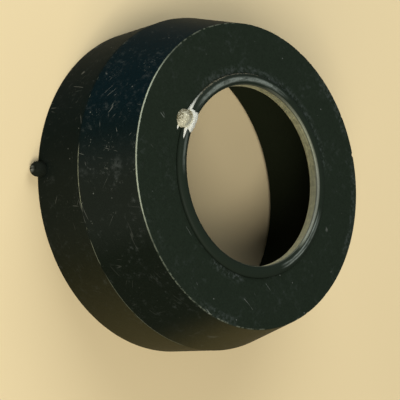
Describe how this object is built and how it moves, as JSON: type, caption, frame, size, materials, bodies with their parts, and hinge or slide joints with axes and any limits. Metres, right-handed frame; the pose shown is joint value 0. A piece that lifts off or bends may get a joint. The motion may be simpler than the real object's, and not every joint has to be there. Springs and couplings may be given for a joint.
{
  "type": "tapered sleeve bushing collar",
  "caption": "Hollow tapered collar with a flat front plate, a short sleeve bushing in its central bore, an open rear socket and a round-head locking screw near the rear rim.",
  "frame": {"origin": "centre of the rear rim's plane, on the bore's axis", "axes": "+Z along the bore, from the rear rim to the front face; the locking screw points along -X-Y, at 225 degrees"},
  "size_m": [0.0668, 0.0668, 0.0268],
  "materials": {
    "black_enamel": "satin black enamel, scratched, worn to bare metal along the edges",
    "skirt_enamel": "satin black enamel, lightly scratched",
    "bushing_bronze": "bare pale bronze in the bore; the bead is painted black, with its crest worn bright in places",
    "solder": "bright lumpy soft solder",
    "screw_enamel": "glossy black enamel over a steel screw"
  },
  "bodies": {
    "collar": {"front_shell": "black_enamel", "rear_ring": "skirt_enamel", "bore_bushing": "bushing_bronze", "solder_tack": "solder"},
    "screw": {"locking_screw": "screw_enamel"}
  },
  "joints": [
    {"name": "screw_travel", "type": "slide", "parent": "collar", "child": "screw", "axis": [-0.7071, -0.7071, 0], "range_m": [0, 0.003]}
  ]
}
